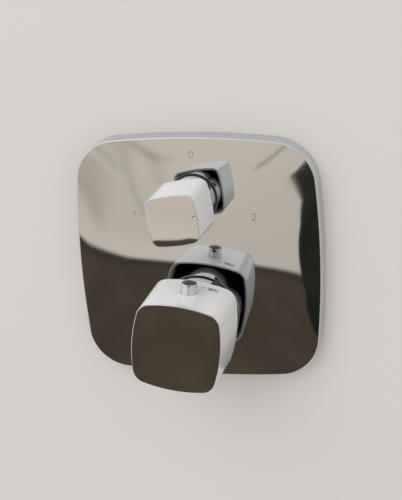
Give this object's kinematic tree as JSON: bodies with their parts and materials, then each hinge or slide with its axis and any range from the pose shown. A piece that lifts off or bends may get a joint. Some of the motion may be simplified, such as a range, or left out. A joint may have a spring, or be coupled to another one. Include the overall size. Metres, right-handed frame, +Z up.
{
  "type": "thermostatic shower valve",
  "caption": "Concealed shower mixer with a bowed square cover plate, a large square temperature knob with a safety button and a smaller shut-off and diverter knob.",
  "frame": {"origin": "centre of the cover plate's back, on the finished wall", "axes": "+Y into the wall, +Z up along the upper outlet, +X to the right seen from the room, along the cold inlet"},
  "size_m": [0.155, 0.138, 0.168],
  "materials": {
    "chrome_plate": "polished chrome on brass sheet",
    "chrome_trim": "polished chrome",
    "white_lacquer": "glossy white",
    "black_plastic": "matt black, moulded",
    "grey_plastic": "matt grey, moulded",
    "acetal": "natural white, moulded",
    "brass": "cast and turned brass",
    "steel": "stainless steel",
    "rubber": "black rubber",
    "foam": "closed-cell foam rubber",
    "ceramic": "lapped alumina",
    "copper": "copper casing"
  },
  "bodies": {
    "valve": {"cover_plate": "chrome_plate", "wall_gasket": "foam", "plate_carrier": "grey_plastic", "carrier_pillars": "brass", "carrier_screws": "steel", "thermostat_sleeve": "chrome_trim", "thermostat_sleeve_holder": "black_plastic", "thermostat_sleeve_seal": "rubber", "diverter_sleeve": "chrome_trim", "diverter_sleeve_holder": "black_plastic", "diverter_sleeve_seal": "rubber", "thermostat_headpiece": "brass", "thermostat_nut": "brass", "temperature_stop_ring": "acetal", "regulator_housing": "acetal", "regulator_seals": "rubber", "regulator_screens": "steel", "mixing_basket": "acetal", "return_spring": "steel", "diverter_headpiece": "brass", "diverter_seal": "rubber", "diverter_nut": "brass", "fixed_disc": "ceramic", "disc_seal": "rubber", "valve_body": "brass", "passage_plugs": "brass", "check_valve_seals": "rubber", "hot_check_valve": "acetal", "hot_check_spring": "steel", "hot_strainer": "steel", "cold_check_valve": "acetal", "cold_check_spring": "steel", "cold_strainer": "steel"},
    "thermostat_knob": {"thermostat_knob_shell": "white_lacquer", "thermostat_knob_face": "chrome_trim", "thermostat_knob_core": "black_plastic", "thermostat_knob_screw": "steel", "thermostat_spindle": "brass", "thermostat_spindle_seal": "rubber", "button_spring": "steel"},
    "safety_button": {"safety_button": "chrome_trim"},
    "adjusting_nut": {"adjusting_nut": "brass", "overload_clip": "steel", "overload_plunger": "brass", "overload_spring": "steel", "wax_pin": "steel"},
    "regulating_piston": {"regulating_piston": "acetal", "wax_element": "copper"},
    "diverter_knob": {"diverter_knob_shell": "white_lacquer", "diverter_knob_face": "chrome_trim", "diverter_knob_core": "black_plastic", "diverter_knob_screw": "steel", "diverter_spindle": "brass", "diverter_spindle_seal": "rubber", "disc_driver": "acetal", "moving_disc": "ceramic"},
    "hot_check_poppet": {"hot_check_poppet": "acetal"},
    "cold_check_poppet": {"cold_check_poppet": "acetal"}
  },
  "joints": [
    {"name": "thermostat_turn", "type": "hinge", "parent": "valve", "child": "thermostat_knob", "pos_m": [0, 0, -0.0348], "axis": [0, -1, 0], "range_deg": [-182.6, 102.4]},
    {"name": "safety_button_press", "type": "slide", "parent": "thermostat_knob", "child": "safety_button", "axis": [-0.1288, 0, -0.9917], "range_m": [0, 0.003], "stiffness_N_per_m": 300, "springref_m": -0.004, "deforming": ["button_spring"]},
    {"name": "adjusting_nut_travel", "type": "slide", "parent": "valve", "child": "adjusting_nut", "axis": [0, -1, 0], "range_m": [-0.0033, 0.0019]},
    {"name": "regulating_piston_travel", "type": "slide", "parent": "valve", "child": "regulating_piston", "axis": [0, -1, 0], "range_m": [-0.0005, 0.0003], "deforming": ["return_spring"]},
    {"name": "diverter_turn", "type": "hinge", "parent": "valve", "child": "diverter_knob", "pos_m": [0, 0, 0.0398], "axis": [0, -1, 0], "range_deg": [-24.8, 188.2]},
    {"name": "hot_check_open", "type": "slide", "parent": "valve", "child": "hot_check_poppet", "axis": [1, 0, 0], "range_m": [0, 0.0035], "stiffness_N_per_m": 60, "springref_m": -0.003, "deforming": ["hot_check_spring"]},
    {"name": "cold_check_open", "type": "slide", "parent": "valve", "child": "cold_check_poppet", "axis": [-1, 0, 0], "range_m": [0, 0.0035], "stiffness_N_per_m": 60, "springref_m": -0.003, "deforming": ["cold_check_spring"]}
  ],
  "couplings": [
    {"joint": "adjusting_nut_travel", "follows": "thermostat_turn", "m_per_rad": 0.001003},
    {"joint": "regulating_piston_travel", "follows": "thermostat_turn", "m_per_rad": 0.00015}
  ]
}
